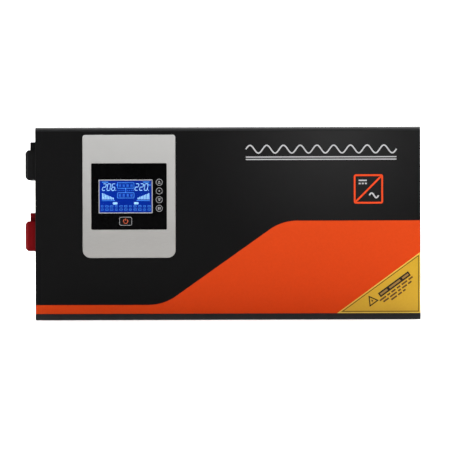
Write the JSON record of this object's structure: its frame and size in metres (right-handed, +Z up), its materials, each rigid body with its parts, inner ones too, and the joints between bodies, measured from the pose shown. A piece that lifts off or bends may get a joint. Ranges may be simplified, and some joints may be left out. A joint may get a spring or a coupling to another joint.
{
  "type": "power inverter",
  "caption": "Box-shaped power inverter with a black steel case, orange sweep, lit display with keys, hooded battery studs, fans, mains outlets and terminals.",
  "frame": {"origin": "middle of the case's bottom face, below the middle of the case's depth", "axes": "+Z up, +X to the right of someone who faces the display, +Y from the front to the wall side"},
  "size_m": [0.457, 0.1808, 0.218],
  "materials": {
    "black_powder": "fine textured black powder coat",
    "black_screw": "black oxide",
    "zinc": "bright zinc",
    "black_film": "matt printed film",
    "orange_print": "satin printed orange",
    "yellow_print": "satin printed yellow",
    "silver_plate": "fine brushed and anodised",
    "dark_acrylic": "polished",
    "clear_lens": "polished",
    "blue_screen": "lit blue screen",
    "black_plastic": "fine moulded texture",
    "red_plastic": "fine moulded texture",
    "key_plastic": "satin",
    "brass_metal": "machined",
    "copper_bar": "tinned copper, slightly dull",
    "fan_plastic": "moulded",
    "chrome_wire": "bright plated",
    "outlet_plastic": "glossy moulded",
    "block_plastic": "moulded",
    "clear_flap": "clear moulded polycarbonate",
    "white_plastic": "moulded",
    "port_metal": "plated shield",
    "winding_tape": "wrapped polyester tape",
    "rubber_pad": "matt",
    "green_board": "solder mask",
    "sink_aluminium": "extruded",
    "can_sleeve": "shrunk sleeve"
  },
  "bodies": {
    "case": {"front_cover": "black_powder", "back_plate": "black_powder", "dc_end_panel": "black_powder", "ac_end_panel": "black_powder", "case_screws": "black_screw", "wall_mount_nuts": "zinc", "front_overlay": "black_film", "sweep_graphic": "orange_print", "corner_graphic": "yellow_print", "display_bezel": "silver_plate", "display_window": "dark_acrylic", "lcd_lens": "clear_lens", "lcd_module": "blue_screen", "display_carrier": "black_plastic", "display_board": "green_board", "key_switches": "black_plastic", "negative_terminal_base": "black_plastic", "positive_terminal_base": "red_plastic", "terminal_studs": "brass_metal", "terminal_nuts": "zinc", "terminal_hinge_pins": "zinc", "busbars": "copper_bar", "dc_fan_frame": "black_plastic", "dc_fan_guard": "chrome_wire", "ac_fan_frame": "black_plastic", "ac_fan_guard": "chrome_wire", "fan_screws": "zinc", "lower_outlet": "outlet_plastic", "upper_outlet": "outlet_plastic", "outlet_earth_clips": "brass_metal", "mains_terminal_block": "block_plastic", "mains_clamp_plates": "zinc", "mains_clamp_screws": "zinc", "breaker_body": "black_plastic", "breaker_nut": "zinc", "data_port": "port_metal", "earth_stud": "brass_metal", "earth_nuts": "zinc", "transformer_winding": "winding_tape", "transformer_pads": "rubber_pad", "transformer_clamp": "zinc", "transformer_bolt": "zinc", "power_board": "green_board", "board_standoffs": "brass_metal", "heatsinks": "sink_aluminium", "power_transistors": "black_plastic", "capacitors": "can_sleeve", "relays": "block_plastic", "control_board": "green_board"},
    "power_key": {"power_key": "key_plastic"},
    "up_key": {"up_key": "key_plastic"},
    "enter_key": {"enter_key": "key_plastic"},
    "down_key": {"down_key": "key_plastic"},
    "back_key": {"back_key": "key_plastic"},
    "negative_terminal_cover": {"negative_terminal_cover": "black_plastic"},
    "positive_terminal_cover": {"positive_terminal_cover": "red_plastic"},
    "dc_fan_rotor": {"dc_fan_rotor": "fan_plastic"},
    "ac_fan_rotor": {"ac_fan_rotor": "fan_plastic"},
    "mains_terminal_flap": {"mains_terminal_flap": "clear_flap"},
    "breaker_button": {"breaker_button": "white_plastic"}
  },
  "joints": [
    {"name": "power_key_press", "type": "slide", "parent": "case", "child": "power_key", "axis": [0, 1, 0], "range_m": [0, 0.0006], "stiffness_N_per_m": 900},
    {"name": "up_key_press", "type": "slide", "parent": "case", "child": "up_key", "axis": [0, 1, 0], "range_m": [0, 0.0006], "stiffness_N_per_m": 900},
    {"name": "enter_key_press", "type": "slide", "parent": "case", "child": "enter_key", "axis": [0, 1, 0], "range_m": [0, 0.0006], "stiffness_N_per_m": 900},
    {"name": "down_key_press", "type": "slide", "parent": "case", "child": "down_key", "axis": [0, 1, 0], "range_m": [0, 0.0006], "stiffness_N_per_m": 900},
    {"name": "back_key_press", "type": "slide", "parent": "case", "child": "back_key", "axis": [0, 1, 0], "range_m": [0, 0.0006], "stiffness_N_per_m": 900},
    {"name": "negative_cover_hinge", "type": "hinge", "parent": "case", "child": "negative_terminal_cover", "pos_m": [-0.2164, -0.0322, 0.176], "axis": [0, 0, -1], "range_deg": [0, 100]},
    {"name": "positive_cover_hinge", "type": "hinge", "parent": "case", "child": "positive_terminal_cover", "pos_m": [-0.2164, -0.0322, 0.095], "axis": [0, 0, -1], "range_deg": [0, 100]},
    {"name": "dc_fan_spin", "type": "hinge", "parent": "case", "child": "dc_fan_rotor", "pos_m": [-0.214, 0.0395, 0.125], "axis": [1, 0, 0], "continuous": true},
    {"name": "ac_fan_spin", "type": "hinge", "parent": "case", "child": "ac_fan_rotor", "pos_m": [0.214, 0.0395, 0.125], "axis": [1, 0, 0], "continuous": true},
    {"name": "mains_flap_hinge", "type": "hinge", "parent": "case", "child": "mains_terminal_flap", "pos_m": [0.2207, 0.0345, 0.0479], "axis": [0, -1, 0], "range_deg": [0, 110]},
    {"name": "breaker_trip", "type": "slide", "parent": "case", "child": "breaker_button", "axis": [1, 0, 0], "range_m": [0, 0.003]}
  ]
}
